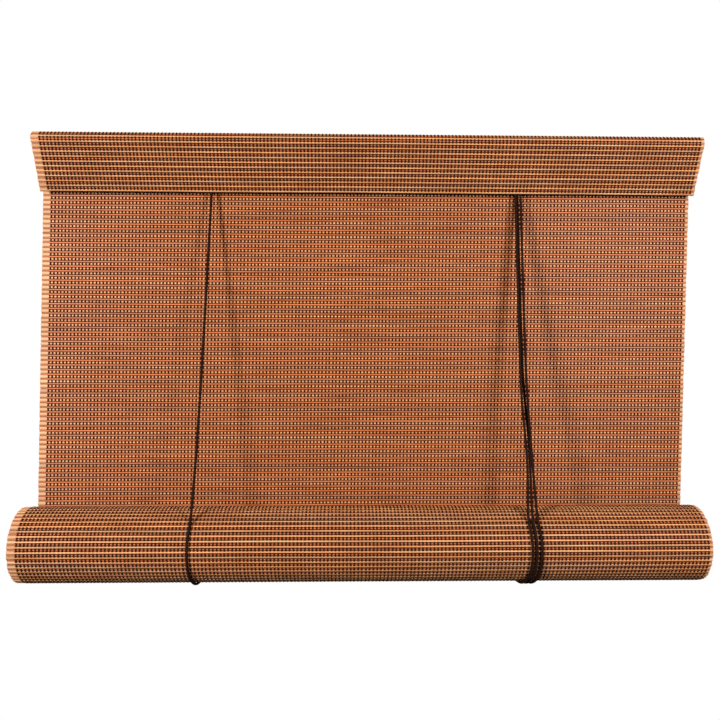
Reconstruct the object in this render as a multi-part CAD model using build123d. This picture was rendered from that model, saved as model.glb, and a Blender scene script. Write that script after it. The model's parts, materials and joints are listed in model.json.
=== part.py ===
from build123d import *
import math
import os

# Roll up blind of woven bamboo sticks, hung from a timber headrail.
# Millimetres. +X to the right, -Y towards the room, +Z up.
# The origin is the middle of the two fixing holes, on top of the sheet over the headrail.

# ---- driving dimensions: sheet and timber ----
BLIND_WIDTH = 800.0         # length of every stick
SHEET_T = 2.2               # thickness of the woven sheet
SEAT = 0.1                  # gap between the sheet and the timber that it is stapled to
SHEET_JOIN = 0.3            # gap between the hanging stretch and the fixed and rolled ones
END_INSET = 5.0             # each timber is this much shorter than the sheet at each end

RAIL_DEPTH = 30.0
RAIL_HEIGHT = 20.0
TIMBER_EDGE_R = 1.5
FIXING_SPACING = 600.0
FIXING_HOLE_R = 2.5

APRON_DROP = 65.6           # from the top of the sheet to the apron's lower edge
APRON_GAP = 9.3             # from the apron's lower edge back to the hanging sheet
APRON_EDGE_R = 8.0          # bend of the sheet over the headrail's front
APRON_CLEAR = 0.3           # between the apron and the headrail's lower front edge
BACK_EDGE_R = 4.0           # bend of the sheet over the headrail's back
BACK_TAIL = 1.0             # fixed stretch of the sheet below the headrail, at the back

ROLL_R = 43.6               # outside radius of the roll
ROLL_PITCH = 3.8            # from one turn of the roll to the next
ROLL_TURNS = 5
ROLL_DROP = 487.0           # from the top of the sheet to the roll's centre
ROLL_SHIFT = -9.2           # the roll hangs a little to the left of the headrail
CORE_BEND_R = 12.0          # last bend of the sheet, onto the bottom batten
CORE_FLAT = 26.0            # flat stretch of the sheet on the bottom batten
BATTEN_WIDTH = 28.0
BATTEN_T = 8.0

STAPLE_WIRE = 0.8
STAPLE_CROWN = 10.0
STAPLE_LEG = 7.0
STAPLE_MARGIN = 35.0        # from a timber's end to its first staple
RAIL_STAPLES = 9
BATTEN_STAPLES = 7

# ---- driving dimensions: pulleys ----
LEFT_PULLEY_X = -189.5
RIGHT_PULLEY_X = 182.6
WHEEL_R = 5.5
WHEEL_T = 5.0
WHEEL_EDGE = 0.3            # chamfer of a wheel's rim and bore
WHEEL_CORD_R = 4.0          # radius of the cord's centre line round a wheel
GROOVE_R = 1.4
PIN_R = 1.5
PIN_RUNNING = 0.05          # radial clearance of a wheel on its pin
PIN_HEAD_R = 2.4
PIN_HEAD_T = 1.0
WHEEL_SIDE_GAP = 0.4        # between a wheel and the cheek beside it
WHEEL_HEAD_GAP = 1.5        # from the bracket's top plate to the wheel's rim
SPACER_T = 1.0              # between the two wheels of the right pulley
SPACER_R = 2.8
SPACER_SIDE_GAP = 0.1       # between the spacer and each wheel
STRAP_T = 1.0               # sheet thickness of a pulley bracket
STRAP_LENGTH = 34.0
CHEEK_WIDTH = 12.0
CHEEK_END_R = 5.9
CHEEK_BELOW_PIN = 7.0
BRACKET_SCREW_X = 12.5      # from the wheel's centre to each bracket screw
BRACKET_SCREW_R = 1.5
BRACKET_SCREW_HEAD_R = 2.9
BRACKET_SCREW_LENGTH = 7.0

# ---- driving dimensions: fittings on the headrail's back ----
EYE_RING_R = 3.2            # centre line of a screw eye's ring
EYE_WIRE_R = 0.9
EYE_SHANK_LENGTH = 13.0
EYE_ABOVE_BOTTOM = 9.3      # above the headrail's underside
KNOT_R = 2.5
KNOT_CLEAR = 0.05
HOOK_X = 215.0
HOOK_ABOVE_BOTTOM = 4.3
HOOK_WIRE_R = 1.25
HOOK_REACH = 20.0           # from the sheet's back to the hook's upturned end
HOOK_RISE = 7.0
HOOK_BEND_R = 3.0
HOOK_SHANK_LENGTH = 12.0

# ---- driving dimensions: cords ----
CORD_R = 1.15
CORD_CLEAR = 0.35           # between a cord and the roll that it passes round
SLING_START = 40.0          # degrees above the roll's front where the cords touch it
SLING_END_GAP = 0.15        # each sling stops this short of its straight stretches
EDGE_CLEAR = 0.15           # between a cord and the apron's lower edge
EDGE_ONE_BEHIND = 2.5       # the first pull strand passes the apron's edge behind the others
JOIN_GAP = 0.5              # between a cord's fixed and moving stretches
TOUCH_RUN = 7.0             # straight stretch of a cord as it meets the roll
UPRIGHT = 12.0              # straight stretch of a cord below a wheel
BEND_SHARE = 0.45           # share of the shorter run that a bend of a cord takes
COIL_R = 22.0               # middle of the turns of the stored pull cord
COIL_THICK = 15.0
COIL_CLEAR = 0.4            # between the coil and the hook that it hangs on
TIE_ANGLE = 18.0            # degrees of the coil that its tie covers
TIE_CLEAR = 0.1
TIE_T = 1.2

# ---- places worked out from them ----
timber_length = BLIND_WIDTH - 2 * END_INSET
rail_top = -SHEET_T - SEAT
rail_bottom = rail_top - RAIL_HEIGHT
rail_back = RAIL_DEPTH / 2
sheet_front = rail_back + SEAT
sheet_back = sheet_front + SHEET_T
sheet_middle = (sheet_front + sheet_back) / 2
sheet_end = rail_bottom - BACK_TAIL
fixing_xs = (-FIXING_SPACING / 2, FIXING_SPACING / 2)
roll_y = sheet_back - ROLL_R
roll_z = -ROLL_DROP

# the apron leans back from the headrail's lower front edge to its own lower edge
apron_bottom_inner = sheet_front - APRON_GAP
apron_inner_at_rail = -RAIL_DEPTH / 2 - APRON_CLEAR
lean = math.atan2(apron_bottom_inner - apron_inner_at_rail, APRON_DROP + rail_bottom)
apron_bottom_outer = apron_bottom_inner - SHEET_T / math.cos(lean)
apron_top_outer = apron_bottom_outer - APRON_DROP * math.tan(lean)
apron_top_inner = apron_bottom_inner - (APRON_DROP - SHEET_T) * math.tan(lean)

edge_z = -APRON_DROP
edge_cord_y = apron_bottom_inner + CORD_R + EDGE_CLEAR
wheel_z = rail_bottom - STRAP_T - WHEEL_HEAD_GAP - WHEEL_R
rear_plane = edge_cord_y
front_plane = rear_plane - WHEEL_T - SPACER_T
double_pin_y = (rear_plane + front_plane) / 2
wheel_room = WHEEL_T / 2 + WHEEL_SIDE_GAP

sling_r = ROLL_R + CORD_CLEAR + CORD_R
eye_y = sheet_back + EYE_WIRE_R + EYE_RING_R
eye_z = rail_bottom + EYE_ABOVE_BOTTOM
knot_z = eye_z - EYE_RING_R - KNOT_R / 2
knot_foot = knot_z - KNOT_R
hook_z = rail_bottom + HOOK_ABOVE_BOTTOM
coil_section_r = COIL_THICK / 2
coil_y = sheet_back + CORD_R * 2 + coil_section_r
coil_z = hook_z + HOOK_WIRE_R + COIL_CLEAR - (COIL_R - coil_section_r)
# the pull cord's ends stop a cord's width below the coil's outline, straight below its sides
coil_join_z = coil_z - math.sqrt((COIL_R + coil_section_r) ** 2 - COIL_R**2) - 2 * CORD_R


# ---- general forms ----
def save(shape, name):
    """Writes one node and prints how much of it there is."""
    export_step(shape, f"parts/{name}.step")
    print(f"{name}: {len(shape.solids())} solids, {shape.volume:.1f} mm3")


def block(x_size, y_size, z_size, x, y, z):
    """A box centred on x, y, z."""
    return Pos(x, y, z) * Box(x_size, y_size, z_size)


def rod_y(radius, y_from, y_to, x, z):
    """A round rod along Y."""
    return Pos(x, (y_from + y_to) / 2, z) * Rot(90, 0, 0) * Cylinder(radius, y_to - y_from)


def rod_z(radius, z_from, z_to, x, y):
    """A round rod along Z."""
    return Pos(x, y, (z_from + z_to) / 2) * Cylinder(radius, z_to - z_from)


def through(x, shape, z_from, z_to):
    """The shape with a fixing hole bored through it between two heights."""
    return shape - rod_z(FIXING_HOLE_R, z_from - 1, z_to + 1, x, 0)


def profile(edges, width, shift=0.0):
    """A closed outline in the YZ plane, made solid over the width."""
    face = Plane.YZ * make_face(edges)
    return Pos(shift, 0, 0) * extrude(face, width / 2, both=True)


def wire_rod(path, radius):
    """A round wire swept along a path."""
    return sweep(Plane(path @ 0, z_dir=path % 0) * Circle(radius), path=path)


def bend_radii(points):
    """The largest gentle radius that the two runs at each corner allow."""
    radii = []
    for before, corner, after in zip(points, points[1:], points[2:]):
        run_in = Vector(*corner) - Vector(*before)
        run_out = Vector(*after) - Vector(*corner)
        half_turn = math.radians(run_in.get_angle(run_out)) / 2
        radii.append(BEND_SHARE * min(run_in.length, run_out.length) / math.tan(half_turn))
    return radii


def tube(path, name):
    """Writes a cord along a path of straight runs and tangent arcs."""
    solid = wire_rod(path, CORD_R)
    share = solid.volume / (math.pi * CORD_R**2 * path.length)
    print(f"{name}: length {path.length:.1f} mm, volume {share:.4f} of section x length")
    save(solid, name)


def run(points, name):
    """Writes a cord through points chosen by hand."""
    if len(points) == 2:
        tube(Wire([Line(*points).edge()]), name)
        return
    radii = bend_radii(points)
    print(f"{name}: radii {[round(r, 1) for r in radii]}")
    tube(Wire(FilletPolyline(*points, radius=radii).edges()), name)


# ---- headrail ----
def headrail():
    """Timber bar with two holes for the fixing screws."""
    middle_z = (rail_top + rail_bottom) / 2
    bar = block(timber_length, RAIL_DEPTH, RAIL_HEIGHT, 0, 0, middle_z)
    bar = fillet(bar.edges().filter_by(Axis.X), TIMBER_EDGE_R)
    for x in fixing_xs:
        bar = through(x, bar, rail_bottom, rail_top)
    return bar


# ---- woven sheet: apron over the headrail, hanging panel and roll ----
def apron():
    """The sheet's top end: up the headrail's back, over it, and down in front."""
    outer = [
        (sheet_back, sheet_end),
        (sheet_back, 0),
        (apron_top_outer, 0),
        (apron_bottom_outer, edge_z),
    ]
    inner = [
        (sheet_front, sheet_end),
        (sheet_front, -SHEET_T),
        (apron_top_inner, -SHEET_T),
        (apron_bottom_inner, edge_z),
    ]
    outside = FilletPolyline(*outer, radius=[BACK_EDGE_R, APRON_EDGE_R])
    inside = FilletPolyline(*inner, radius=[BACK_EDGE_R - SHEET_T, APRON_EDGE_R - SHEET_T])
    ends = [Line(outer[0], inner[0]), Line(outer[-1], inner[-1])]
    sheet = profile([*outside.edges(), *inside.edges(), *ends], BLIND_WIDTH)
    for x in fixing_xs:
        sheet = through(x, sheet, -SHEET_T, 0)
    return sheet


def panel():
    """The hanging stretch of the sheet. It leans left by the roll's shift."""
    top = Plane((0, sheet_middle, sheet_end - SHEET_JOIN)) * Rectangle(BLIND_WIDTH, SHEET_T)
    foot = Plane((ROLL_SHIFT, sheet_middle, roll_z + SHEET_JOIN)) * Rectangle(BLIND_WIDTH, SHEET_T)
    return loft([foot, top])


def roll():
    """The rolled stretch of the sheet: one spiral ribbon of half turns, then a flat inner end.

    Also gives where the flat inner end starts, in Y, and its underside.
    """
    edges = []
    centre = roll_y
    radius = ROLL_R
    for half in range(2 * ROLL_TURNS + 1):
        start = 0 if half % 2 == 0 else 180
        edges.append(CenterArc((centre, roll_z), radius, start, -180))
        edges.append(CenterArc((centre, roll_z), radius - SHEET_T, start, -180))
        if half < 2 * ROLL_TURNS:
            side = -1 if half % 2 == 0 else 1
            centre += side * ROLL_PITCH / 2
            radius -= ROLL_PITCH / 2
    flat_from = centre - radius + CORE_BEND_R
    flat_to = flat_from + CORE_FLAT
    flat_top = roll_z + CORE_BEND_R
    flat_bottom = flat_top - SHEET_T
    edges.append(CenterArc((flat_from, roll_z), CORE_BEND_R, 180, -90))
    edges.append(CenterArc((flat_from, roll_z), CORE_BEND_R - SHEET_T, 180, -90))
    edges.append(Line((flat_from, flat_top), (flat_to, flat_top)))
    edges.append(Line((flat_from, flat_bottom), (flat_to, flat_bottom)))
    edges.append(Line((flat_to, flat_top), (flat_to, flat_bottom)))
    edges.append(Line((sheet_back, roll_z), (sheet_front, roll_z)))
    return profile(edges, BLIND_WIDTH, ROLL_SHIFT), flat_from, flat_bottom


def batten(y, top):
    """Timber slat that weights the sheet's lower end."""
    bar = block(timber_length, BATTEN_WIDTH, BATTEN_T, ROLL_SHIFT, y, top - BATTEN_T / 2)
    return fillet(bar.edges().filter_by(Axis.X), TIMBER_EDGE_R)


def staple(x, y, z):
    """One staple, its crown along X on the height z and its legs down."""
    shape = block(STAPLE_CROWN, STAPLE_WIRE, STAPLE_WIRE, x, y, z + STAPLE_WIRE / 2)
    for side in (-1, 1):
        leg_x = x + side * (STAPLE_CROWN - STAPLE_WIRE) / 2
        shape += block(STAPLE_WIRE, STAPLE_WIRE, STAPLE_LEG, leg_x, y, z - STAPLE_LEG / 2)
    return shape


def staple_row(count, x_middle, y, z):
    """Staples evenly spaced along a timber."""
    first = x_middle - timber_length / 2 + STAPLE_MARGIN
    step = (timber_length - 2 * STAPLE_MARGIN) / (count - 1)
    return Compound(children=[staple(first + step * i, y, z) for i in range(count)])


# ---- pulleys ----
def wheel(x, y):
    """Grooved nylon wheel that turns on a steel pin along Y."""
    body = rod_y(WHEEL_R, y - WHEEL_T / 2, y + WHEEL_T / 2, x, wheel_z)
    body = chamfer(body.edges(), WHEEL_EDGE)
    groove = Pos(x, y, wheel_z) * Rot(90, 0, 0) * Torus(WHEEL_CORD_R, GROOVE_R)
    mouth = rod_y(WHEEL_R + 1, y - GROOVE_R, y + GROOVE_R, x, wheel_z)
    mouth -= rod_y(WHEEL_CORD_R, y - GROOVE_R, y + GROOVE_R, x, wheel_z)
    bore = rod_y(PIN_R + PIN_RUNNING, y - WHEEL_T, y + WHEEL_T, x, wheel_z)
    return body - groove - mouth - bore


def bracket_screw(x, y):
    """Countersunk screw, its head flush with the bracket's underside."""
    shank = rod_z(BRACKET_SCREW_R, rail_bottom, rail_bottom + BRACKET_SCREW_LENGTH, x, y)
    head = Rot(180, 0, 0) * Cone(BRACKET_SCREW_R, BRACKET_SCREW_HEAD_R, STRAP_T)
    return shank + Pos(x, y, rail_bottom - STRAP_T / 2) * head


def screw_pair(x, y):
    """The two screws of a pulley bracket."""
    return [bracket_screw(x + side * BRACKET_SCREW_X, y) for side in (-1, 1)]


def bracket(x, y_from, y_to):
    """Steel strap bent down on both sides of the wheels and screwed up into the headrail."""
    y_mid = (y_from + y_to) / 2
    depth = y_to - y_from + 2 * STRAP_T
    plate = block(STRAP_LENGTH, depth, STRAP_T, x, y_mid, rail_bottom - STRAP_T / 2)
    foot = wheel_z - CHEEK_BELOW_PIN
    for y in (y_from - STRAP_T / 2, y_to + STRAP_T / 2):
        cheek = block(CHEEK_WIDTH, STRAP_T, rail_bottom - foot, x, y, (rail_bottom + foot) / 2)
        lower_edges = cheek.edges().filter_by(Axis.Y).group_by(Axis.Z)[0]
        plate += fillet(lower_edges, CHEEK_END_R)
    plate -= rod_y(PIN_R, y_from - 2 * STRAP_T, y_to + 2 * STRAP_T, x, wheel_z)
    for screw in screw_pair(x, y_mid):
        plate -= screw
    return plate


def pin(x, y_from, y_to):
    """Riveted wheel pin through both cheeks, a head outside each."""
    outer_from = y_from - STRAP_T
    outer_to = y_to + STRAP_T
    shaft = rod_y(PIN_R, outer_from, outer_to, x, wheel_z)
    shaft += rod_y(PIN_HEAD_R, outer_from - PIN_HEAD_T, outer_from, x, wheel_z)
    shaft += rod_y(PIN_HEAD_R, outer_to, outer_to + PIN_HEAD_T, x, wheel_z)
    return shaft


def wheel_spacer():
    """Washer between the two wheels of the right pulley."""
    half = SPACER_T / 2 - SPACER_SIDE_GAP
    washer = rod_y(SPACER_R, double_pin_y - half, double_pin_y + half, RIGHT_PULLEY_X, wheel_z)
    bore_r = PIN_R + PIN_RUNNING
    return washer - rod_y(bore_r, double_pin_y - 1, double_pin_y + 1, RIGHT_PULLEY_X, wheel_z)


# ---- fittings on the headrail's back ----
def eye_ring(x, wire_r):
    """The upright ring of a screw eye."""
    return Pos(x, eye_y, eye_z) * Rot(0, 90, 0) * Torus(EYE_RING_R, wire_r)


def screw_eye(x):
    """Screw eye driven through the sheet into the headrail."""
    shank = rod_y(EYE_WIRE_R, rail_back - EYE_SHANK_LENGTH, sheet_back + EYE_WIRE_R, x, eye_z)
    return shank + eye_ring(x, EYE_WIRE_R)


def knot(x):
    """Knot of a lift cord's end on its screw eye."""
    return Pos(x, eye_y, knot_z) * Sphere(KNOT_R) - eye_ring(x, EYE_WIRE_R + KNOT_CLEAR)


def hook():
    """Screw hook that carries the coil of the pull cord."""
    start = (HOOK_X, rail_back - HOOK_SHANK_LENGTH, hook_z)
    corner = (HOOK_X, sheet_back + HOOK_REACH, hook_z)
    tip = (HOOK_X, sheet_back + HOOK_REACH, hook_z + HOOK_RISE)
    path = Wire(FilletPolyline(start, corner, tip, radius=HOOK_BEND_R).edges())
    return wire_rod(path, HOOK_WIRE_R)


def tie():
    """Band round the lowest part of the coil."""
    inner_r = coil_section_r + TIE_CLEAR
    section = Plane((COIL_R, 0, 0), z_dir=(0, 1, 0)) * (Circle(inner_r + TIE_T) - Circle(inner_r))
    band = revolve(section, Axis.Z, TIE_ANGLE)
    lowest = -90 - TIE_ANGLE / 2
    return Pos(HOOK_X, coil_y, coil_z) * Rot(90, 0, 0) * Rot(0, 0, lowest) * band


# ---- cords ----
class Strand:
    """A cord that passes round the roll in a plane turned about the vertical."""

    def __init__(self, touch_x, turned):
        angle = math.radians(turned)
        self.back_dir = (math.sin(angle), math.cos(angle), 0)
        self.normal = (math.cos(angle), -math.sin(angle), 0)
        self.radius = sling_r / math.cos(angle)
        reach = self.radius * math.cos(math.radians(SLING_START))
        self.centre = (touch_x + reach * math.sin(angle), roll_y, roll_z)
        self.touch = self.at(180 - SLING_START)
        self.back = self.at(360)

    def at(self, degrees):
        """The point of the arc at an angle from the back, through the bottom at 270."""
        across = self.radius * math.cos(math.radians(degrees))
        x = self.centre[0] + across * self.back_dir[0]
        y = self.centre[1] + across * self.back_dir[1]
        return (x, y, self.centre[2] + self.radius * math.sin(math.radians(degrees)))

    def before_touch(self, distance):
        """The point that far up the tangent at the touch point."""
        slope = math.radians(180 - SLING_START)
        back = distance * math.sin(slope)
        x = self.touch[0] + back * self.back_dir[0]
        y = self.touch[1] + back * self.back_dir[1]
        return (x, y, self.touch[2] - distance * math.cos(slope))

    def sling(self, name):
        """Writes the arc under the roll, from the front to the back."""
        plane = Plane(origin=self.centre, x_dir=self.back_dir, z_dir=self.normal)
        gap = math.degrees(SLING_END_GAP / self.radius)
        start = 180 - SLING_START + gap
        arc = CenterArc((0, 0), self.radius, start, 180 + SLING_START - 2 * gap)
        tube(Wire((plane * arc).edges()), name)

    def front(self, edge_point, between, name):
        """Writes the stretch from the apron's edge to the roll.

        The points between are (x, z, distance behind the straight line).
        """
        x0, y0, z0 = edge_point
        foot = self.before_touch(TOUCH_RUN)
        points = [(x0, y0, z0 - JOIN_GAP)]
        for x, z, behind in between:
            share = (z0 - z) / (z0 - foot[2])
            points.append((x, y0 + (foot[1] - y0) * share + behind, z))
        run([*points, foot, self.touch], name)

    def rear(self, end, name):
        """Writes the straight stretch up behind the sheet."""
        x, y, z = self.back
        run([(x, y, z + JOIN_GAP), end], name)


left_hand = Strand(-206.6, 7.0)
right_hand = Strand(181.2, -9.0)
pull_one = Strand(186.3, -9.0)
pull_two = Strand(192.1, -9.0)

edge_left = (-193.6, edge_cord_y, edge_z)
edge_right = (179.2, edge_cord_y, edge_z)
edge_one = (182.3, edge_cord_y + EDGE_ONE_BEHIND, edge_z)
edge_two = (185.6, edge_cord_y, edge_z)

eye_left_x = left_hand.back[0]
eye_right_x = right_hand.back[0]


def over_wheel(x, y, start, size):
    """The cord's arc over a wheel, in the wheel's plane."""
    plane = Plane(origin=(x, y, wheel_z), x_dir=(1, 0, 0), z_dir=(0, -1, 0))
    return (plane * CenterArc((0, 0), WHEEL_CORD_R, start, size)).edge()


def up_to(edge_point, x, y):
    """From the apron's lower edge up to one side of a wheel, upright where it meets it."""
    points = [edge_point, (x, y, wheel_z - UPRIGHT), (x, y, wheel_z)]
    return FilletPolyline(*points, radius=bend_radii(points)).edges()


def cross_path():
    """Up over the left pulley, along the headrail, and down over the right pulley's rear wheel."""
    z = wheel_z + WHEEL_CORD_R
    along = Line((LEFT_PULLEY_X, rear_plane, z), (RIGHT_PULLEY_X, rear_plane, z))
    return Wire([
        *up_to(edge_left, LEFT_PULLEY_X - WHEEL_CORD_R, rear_plane),
        over_wheel(LEFT_PULLEY_X, rear_plane, 180, -90),
        along.edge(),
        over_wheel(RIGHT_PULLEY_X, rear_plane, 90, -90),
        *up_to(edge_one, RIGHT_PULLEY_X + WHEEL_CORD_R, rear_plane),
    ])


def right_path():
    """Up, over the right pulley's front wheel and down."""
    return Wire([
        *up_to(edge_right, RIGHT_PULLEY_X - WHEEL_CORD_R, front_plane),
        over_wheel(RIGHT_PULLEY_X, front_plane, 180, -180),
        *up_to(edge_two, RIGHT_PULLEY_X + WHEEL_CORD_R, front_plane),
    ])


# ---- writing every node ----
os.makedirs("parts", exist_ok=True)

screws = screw_pair(LEFT_PULLEY_X, rear_plane) + screw_pair(RIGHT_PULLEY_X, double_pin_y)
coil_hook = hook()
rail = headrail()
sheet_top = apron()
for screw in screws:
    rail -= screw
for fitting in (screw_eye(eye_left_x), screw_eye(eye_right_x), coil_hook):
    rail -= fitting
    sheet_top -= fitting
save(rail, "headrail")
save(sheet_top, "sheet_apron")
save(staple_row(RAIL_STAPLES, 0, RAIL_DEPTH / 4, 0), "headrail_staples")

ribbon, flat_from, flat_bottom = roll()
batten_y = flat_from + CORE_FLAT / 2
save(panel(), "sheet_panel")
save(ribbon, "sheet_roll")
save(batten(batten_y, flat_bottom - SEAT), "bottom_batten")
save(staple_row(BATTEN_STAPLES, ROLL_SHIFT, batten_y, flat_bottom + SHEET_T), "batten_staples")

single_span = (rear_plane - wheel_room, rear_plane + wheel_room)
double_span = (front_plane - wheel_room, rear_plane + wheel_room)
save(bracket(LEFT_PULLEY_X, *single_span), "pulley_bracket_left")
save(bracket(RIGHT_PULLEY_X, *double_span), "pulley_bracket_right")
save(pin(LEFT_PULLEY_X, *single_span), "pulley_pin_left")
save(pin(RIGHT_PULLEY_X, *double_span), "pulley_pin_right")
save(Compound(children=screws), "pulley_screws")
save(wheel_spacer(), "pulley_spacer_right")
save(wheel(LEFT_PULLEY_X, rear_plane), "pulley_wheel_left")
save(wheel(RIGHT_PULLEY_X, rear_plane), "pulley_wheel_right_rear")
save(wheel(RIGHT_PULLEY_X, front_plane), "pulley_wheel_right_front")

save(screw_eye(eye_left_x), "screw_eye_left")
save(screw_eye(eye_right_x), "screw_eye_right")
save(knot(eye_left_x), "cord_knot_left")
save(knot(eye_right_x), "cord_knot_right")
save(coil_hook, "coil_hook")

tube(cross_path(), "cross_cord")
tube(right_path(), "right_pulley_cord")

left_hand.front(edge_left, [(-199.6, -320, 0)], "lift_cord_left_front")
right_between = [(176.8, -298, -1.2), (179.6, -345, -2.4), (182.6, -395, -1.2)]
right_hand.front(edge_right, right_between, "lift_cord_right_front")
one_between = [(180.6, -262, 2.0), (182.6, -320, 2.2), (185.9, -368, 0.6)]
pull_one.front(edge_one, one_between, "pull_cord_one_front")
two_between = [(184.3, -240, 0), (184.6, -318, -1.5), (188.4, -385, 0.5)]
pull_two.front(edge_two, two_between, "pull_cord_two_front")

left_hand.sling("lift_cord_left_sling")
right_hand.sling("lift_cord_right_sling")
pull_one.sling("pull_cord_one_sling")
pull_two.sling("pull_cord_two_sling")

left_hand.rear((eye_left_x, eye_y, knot_foot), "lift_cord_left_back")
right_hand.rear((eye_right_x, eye_y, knot_foot), "lift_cord_right_back")
pull_one.rear((HOOK_X - COIL_R, coil_y, coil_join_z), "pull_cord_one_back")
pull_two.rear((HOOK_X + COIL_R, coil_y, coil_join_z), "pull_cord_two_back")

coil = Pos(HOOK_X, coil_y, coil_z) * Rot(90, 0, 0) * Torus(COIL_R, coil_section_r)
save(coil, "pull_cord_coil")
save(tie(), "coil_tie")
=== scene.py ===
import json
import math

import bpy
import numpy as np
from mathutils import Matrix, Vector


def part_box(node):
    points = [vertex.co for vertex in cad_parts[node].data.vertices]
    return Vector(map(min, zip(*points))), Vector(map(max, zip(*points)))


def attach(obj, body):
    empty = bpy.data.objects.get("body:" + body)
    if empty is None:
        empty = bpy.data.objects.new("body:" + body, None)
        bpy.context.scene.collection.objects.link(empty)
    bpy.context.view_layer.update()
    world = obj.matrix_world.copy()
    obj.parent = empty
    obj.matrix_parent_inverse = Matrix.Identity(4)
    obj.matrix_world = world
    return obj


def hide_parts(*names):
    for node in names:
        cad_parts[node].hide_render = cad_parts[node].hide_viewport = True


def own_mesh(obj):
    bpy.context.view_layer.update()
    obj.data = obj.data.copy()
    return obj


# Looks of a roll up blind of woven bamboo. Metres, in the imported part's own frame:
# +X to the right, -Y towards the room, +Z up, origin between the fixing holes.

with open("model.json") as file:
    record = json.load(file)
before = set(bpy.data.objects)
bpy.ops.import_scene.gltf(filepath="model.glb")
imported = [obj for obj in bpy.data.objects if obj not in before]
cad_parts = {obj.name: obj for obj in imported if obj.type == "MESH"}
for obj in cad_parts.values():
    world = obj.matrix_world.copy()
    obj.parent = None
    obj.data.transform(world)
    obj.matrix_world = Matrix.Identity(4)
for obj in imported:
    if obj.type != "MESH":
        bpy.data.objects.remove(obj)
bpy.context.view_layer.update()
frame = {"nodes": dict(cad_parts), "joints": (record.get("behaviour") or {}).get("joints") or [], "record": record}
MM = 0.001
random = np.random.default_rng(7)

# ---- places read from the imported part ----
apron_low, apron_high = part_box("sheet_apron")
panel_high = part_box("sheet_panel")[1]
rail_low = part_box("headrail")[0]
wheel_boxes = {side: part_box(f"pulley_wheel_{side}") for side in ("left", "right_rear", "right_front")}
eye_boxes = {side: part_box(f"screw_eye_{side}") for side in ("left", "right")}
coil_low, coil_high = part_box("pull_cord_coil")
joint_of = {joint["name"]: joint for joint in frame["joints"]}
lift_range = joint_of["roll_lift"]["range_m"][1]
roll_x, roll_y, roll_z = joint_of["roll_turn"]["pos_m"]

SHEET_T = 2.2 * MM
HALF_WIDTH = (apron_high.x - apron_low.x) / 2
sheet_back = panel_high.y
sheet_middle = sheet_back - SHEET_T / 2
roll_r = sheet_back - roll_y
roll_mid_r = roll_r - SHEET_T / 2

# ---- camera ----
CAMERA_PLACE = (-32.8 * MM, -897.2 * MM, -258.3 * MM)
CAMERA_LENS = 36.76
CAMERA_YAW = -1.321
CAMERA_PITCH = -0.72
CAMERA_ROLL = -0.117
SENSOR_WIDTH = 36.0
NEAR_CLIP = 0.01


def make_camera():
    """The photograph's camera: level with the panel's middle, about 0.9 m away."""
    data = bpy.data.cameras.new("camera")
    data.lens = CAMERA_LENS
    data.sensor_width = SENSOR_WIDTH
    data.clip_start = NEAR_CLIP
    camera = bpy.data.objects.new("camera", data)
    bpy.context.scene.collection.objects.link(camera)
    turn = Matrix.Rotation(math.radians(CAMERA_YAW), 4, "Z")
    turn = turn @ Matrix.Rotation(math.radians(CAMERA_PITCH), 4, "X")
    turn = turn @ Matrix.Rotation(math.radians(CAMERA_ROLL), 4, "Y")
    upright = Matrix.Rotation(math.radians(90), 4, "X")
    camera.matrix_world = Matrix.Translation(CAMERA_PLACE) @ turn @ upright
    bpy.context.scene.camera = camera


# ---- mesh and curve helpers ----
def new_mesh(name, points, face_sets, materials, values=None, vectors=None, smooth=True):
    """A mesh object from points and sets of faces, each set (faces, material index)."""
    mesh = bpy.data.meshes.new(name)
    points = np.asarray(points, np.float32).reshape(-1, 3)
    corners = np.concatenate([faces.ravel() for faces, _ in face_sets]).astype(np.int32)
    sizes = np.concatenate([np.full(len(faces), faces.shape[1]) for faces, _ in face_sets])
    starts = np.concatenate([[0], np.cumsum(sizes)[:-1]]).astype(np.int32)
    slots = np.concatenate([np.broadcast_to(slot, len(faces)) for faces, slot in face_sets])
    mesh.vertices.add(len(points))
    mesh.vertices.foreach_set("co", points.ravel())
    mesh.loops.add(len(corners))
    mesh.loops.foreach_set("vertex_index", corners)
    mesh.polygons.add(len(sizes))
    mesh.polygons.foreach_set("loop_start", starts)
    mesh.polygons.foreach_set("material_index", slots.astype(np.int32))
    mesh.polygons.foreach_set("use_smooth", np.full(len(sizes), smooth))
    mesh.update(calc_edges=True)
    for key, data in (values or {}).items():
        layer = mesh.attributes.new(key, "FLOAT", "POINT")
        layer.data.foreach_set("value", np.asarray(data, np.float32).ravel())
    for key, data in (vectors or {}).items():
        layer = mesh.attributes.new(key, "FLOAT_VECTOR", "POINT")
        layer.data.foreach_set("vector", np.asarray(data, np.float32).ravel())
    for material in materials:
        mesh.materials.append(material)
    thing = bpy.data.objects.new(name, mesh)
    bpy.context.scene.collection.objects.link(thing)
    return thing


SPLINE_RESOLUTION = 24


def spline_points(controls, resolution=SPLINE_RESOLUTION):
    """The points of the NURBS curve that a route controls, read from the evaluated curve."""
    data = bpy.data.curves.new("route", "CURVE")
    data.dimensions = "3D"
    data.resolution_u = resolution
    spline = data.splines.new("NURBS")
    spline.points.add(len(controls) - 1)
    for point, place in zip(spline.points, controls):
        point.co = (*place, 1.0)
    spline.order_u = 3
    spline.use_endpoint_u = True
    carrier = bpy.data.objects.new("route", data)
    mesh = bpy.data.meshes.new_from_object(carrier)
    line = np.array([v.co for v in mesh.vertices], float)
    bpy.data.meshes.remove(mesh)
    bpy.data.curves.remove(data)
    return line


def evenly(line, step):
    """The same line with rings about step apart, and the distance along it."""
    along = np.concatenate([[0], np.cumsum(np.linalg.norm(np.diff(line, axis=0), axis=1))])
    at = np.linspace(0, along[-1], max(3, int(round(along[-1] / step)) + 1))
    return np.stack([np.interp(at, along, line[:, k]) for k in range(3)], axis=1), at


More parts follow.
